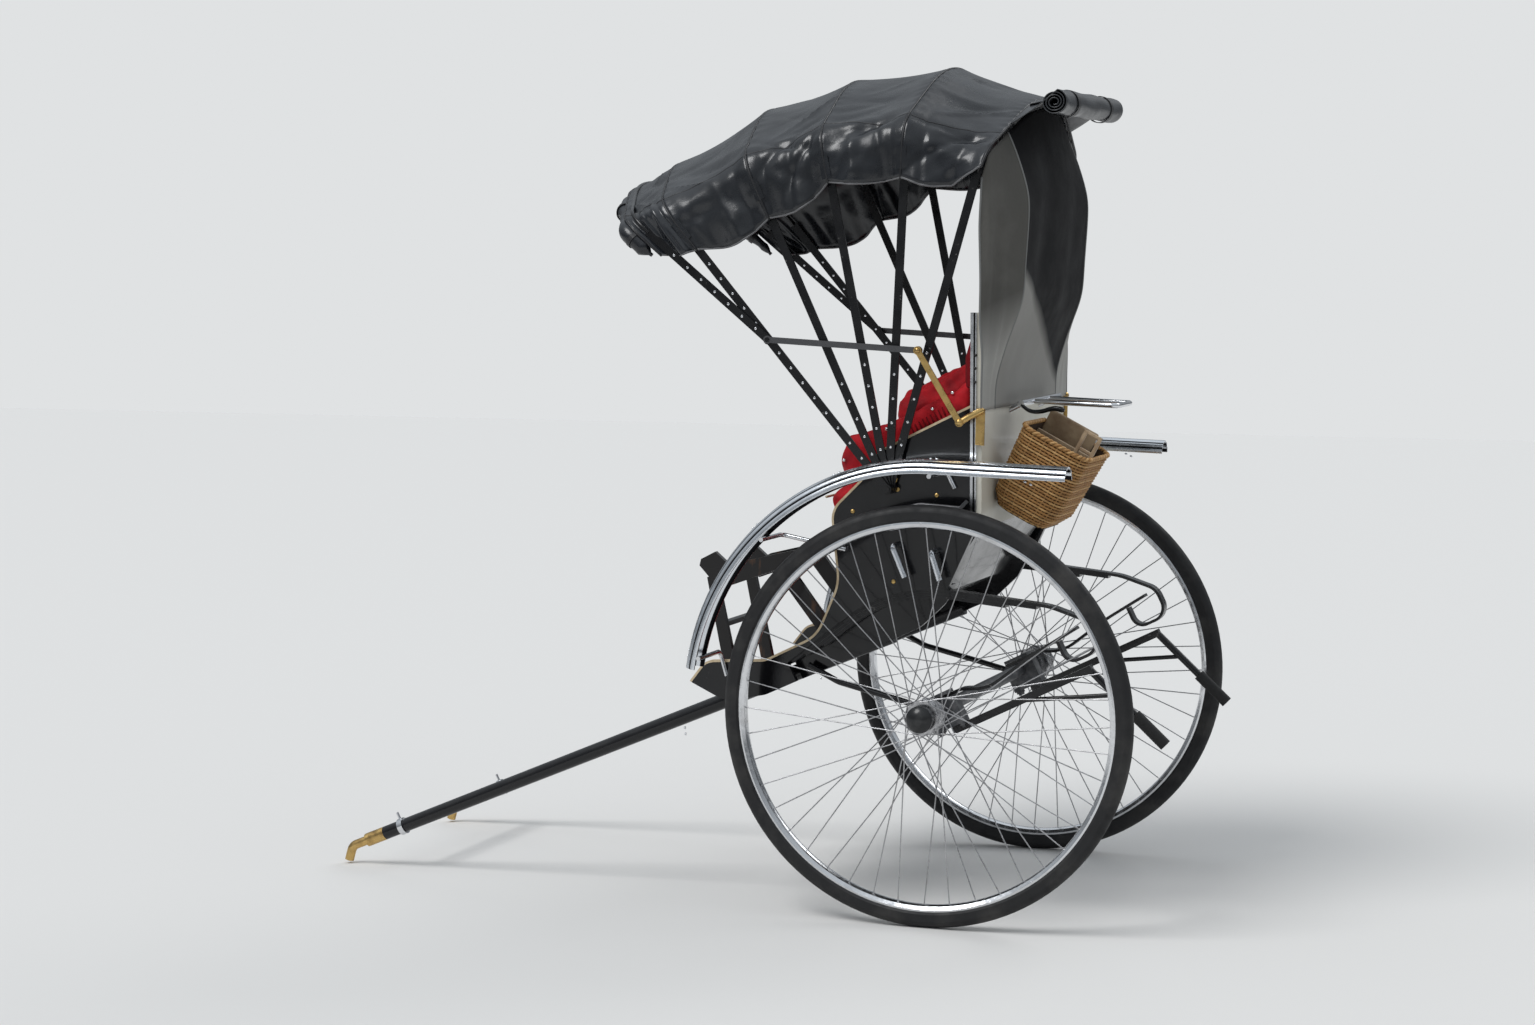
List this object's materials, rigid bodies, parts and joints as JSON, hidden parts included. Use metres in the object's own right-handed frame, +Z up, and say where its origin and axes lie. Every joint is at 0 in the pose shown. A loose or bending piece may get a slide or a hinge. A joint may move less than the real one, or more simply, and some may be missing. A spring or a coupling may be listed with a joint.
{
  "type": "pulled rickshaw",
  "caption": "Pulled rickshaw: spoked wheels on an axle, C springs, tub body with padded seat, folding hood on slat bows and shafts, parked on its shaft tips.",
  "frame": {"origin": "centre of the bounding box at ground level, parked on the shaft tips", "axes": "+X forward towards the shafts, +Y to the vehicle's left, +Z up"},
  "size_m": [2.4068, 1.2406, 2.2384],
  "materials": {
    "black_steel": "gloss black",
    "bow": "satin black",
    "brass": "polished, worn",
    "cap": "gloss black",
    "chrome": "bright plated",
    "cover": "satin leathercloth",
    "curtain": "dark grey cloth",
    "fender": "polished",
    "floor": "black lacquer",
    "forging": "worn grey paint",
    "hub": "plated, a little dull",
    "ivory": "ivory lacquer",
    "lacquer": "gloss black lacquer",
    "post": "brushed",
    "red_cloth": "red velvet",
    "rim": "bright plated",
    "rubber": "matt",
    "shaft": "gloss black lacquer",
    "spoke": "bright plated",
    "stay_dark": "dark grey",
    "stool": "black lacquer, brown edges",
    "trim": "cream edging",
    "tyre": "satin black rubber",
    "wicker": "woven cane"
  },
  "bodies": {
    "carriage": {"axle": "forging", "lower_leaves": "black_steel", "axle_clamps": "forging", "c_springs": "black_steel", "front_braces": "black_steel", "props": "black_steel", "prop_feet": "rubber", "side_left": "lacquer", "side_right": "lacquer", "edge_trims": "trim", "floor": "floor", "seat_box": "lacquer", "back_panel": "ivory", "tail_panel": "lacquer", "rear_strips": "chrome", "seat_cushion": "red_cloth", "arm_pads": "red_cloth", "back_cushion": "red_cloth", "shaft_left": "shaft", "shaft_right": "shaft", "shaft_saddles": "black_steel", "shaft_tips": "brass", "shaft_bands": "chrome", "crossbar": "black_steel", "fender_left": "fender", "fender_right": "fender", "fender_stays": "black_steel", "hood_pivots": "black_steel", "quarter_left": "curtain", "quarter_right": "curtain", "rear_curtain": "curtain", "rear_handle": "chrome", "basket": "wicker", "step_stool": "stool", "side_posts": "post", "side_rods": "stay_dark"},
    "wheel_left": {"tyre_left": "tyre", "rim_left": "rim", "hub_left": "hub", "hub_cap_left": "cap", "spokes_left": "spoke"},
    "wheel_right": {"tyre_right": "tyre", "rim_right": "rim", "hub_right": "hub", "hub_cap_right": "cap", "spokes_right": "spoke"},
    "bow_5": {"hood_bow_5": "bow", "hood_panel_5": "cover", "curtain_roll": "curtain"},
    "bow_4": {"hood_bow_4": "bow", "hood_panel_4": "cover"},
    "bow_3": {"hood_bow_3": "bow", "hood_panel_3": "cover"},
    "bow_2": {"hood_bow_2": "bow", "hood_panel_2": "cover"},
    "bow_1": {"hood_bow_1": "bow"},
    "front_bow": {"hood_front_bow": "bow", "hood_panel_1": "cover"},
    "stay_upper": {"stay_upper": "stay_dark"},
    "stay_lower": {"stay_lower": "brass"}
  },
  "joints": [
    {"name": "wheel_left_spin", "type": "hinge", "parent": "carriage", "child": "wheel_left", "pos_m": [-0.59662, 0.55, 0.55], "axis": [0, 1, 0], "continuous": true},
    {"name": "wheel_right_spin", "type": "hinge", "parent": "carriage", "child": "wheel_right", "pos_m": [-0.59662, -0.55, 0.55], "axis": [0, 1, 0], "continuous": true},
    {"name": "hood_fold", "type": "hinge", "parent": "carriage", "child": "bow_5", "pos_m": [-0.46214, 0, 1.12812], "axis": [0, -1, 0], "range_deg": [0, 26.9], "deforming": ["hood_panel_5", "quarter_left", "quarter_right", "rear_curtain"]},
    {"name": "bow_4_fold", "type": "hinge", "parent": "bow_5", "child": "bow_4", "pos_m": [-0.46214, 0, 1.12812], "axis": [0, -1, 0], "range_deg": [0, 10.11], "deforming": ["hood_panel_4"]},
    {"name": "bow_3_fold", "type": "hinge", "parent": "bow_4", "child": "bow_3", "pos_m": [-0.46214, 0, 1.12812], "axis": [0, -1, 0], "range_deg": [0, 11.01], "deforming": ["hood_panel_3"]},
    {"name": "bow_2_fold", "type": "hinge", "parent": "bow_3", "child": "bow_2", "pos_m": [-0.46214, 0, 1.12812], "axis": [0, -1, 0], "range_deg": [0, 10.31], "deforming": ["hood_panel_2"]},
    {"name": "bow_1_fold", "type": "hinge", "parent": "bow_2", "child": "bow_1", "pos_m": [-0.46214, 0, 1.12812], "axis": [0, -1, 0], "range_deg": [0, 12.61]},
    {"name": "front_bow_fold", "type": "hinge", "parent": "bow_1", "child": "front_bow", "pos_m": [-0.13593, 0, 1.51493], "axis": [0, -1, 0], "range_deg": [0, 7.51], "deforming": ["hood_panel_1"]},
    {"name": "stay_upper_turn", "type": "hinge", "parent": "bow_1", "child": "stay_upper", "pos_m": [-0.13593, 0, 1.51493], "axis": [0, -1, 0], "range_deg": [0, 55.2]},
    {"name": "stay_lower_turn", "type": "hinge", "parent": "carriage", "child": "stay_lower", "pos_m": [-0.6635, 0, 1.30766], "axis": [0, -1, 0], "range_deg": [-76.26, 0]}
  ],
  "couplings": [
    {"joint": "bow_4_fold", "follows": "hood_fold", "ratio": 0.37546},
    {"joint": "bow_3_fold", "follows": "hood_fold", "ratio": 0.40892},
    {"joint": "bow_2_fold", "follows": "hood_fold", "ratio": 0.3829},
    {"joint": "bow_1_fold", "follows": "hood_fold", "ratio": 0.4684},
    {"joint": "front_bow_fold", "follows": "hood_fold", "ratio": 0.27881},
    {"joint": "stay_upper_turn", "follows": "hood_fold", "ratio": 2.0515},
    {"joint": "stay_lower_turn", "follows": "hood_fold", "ratio": -2.8347}
  ]
}
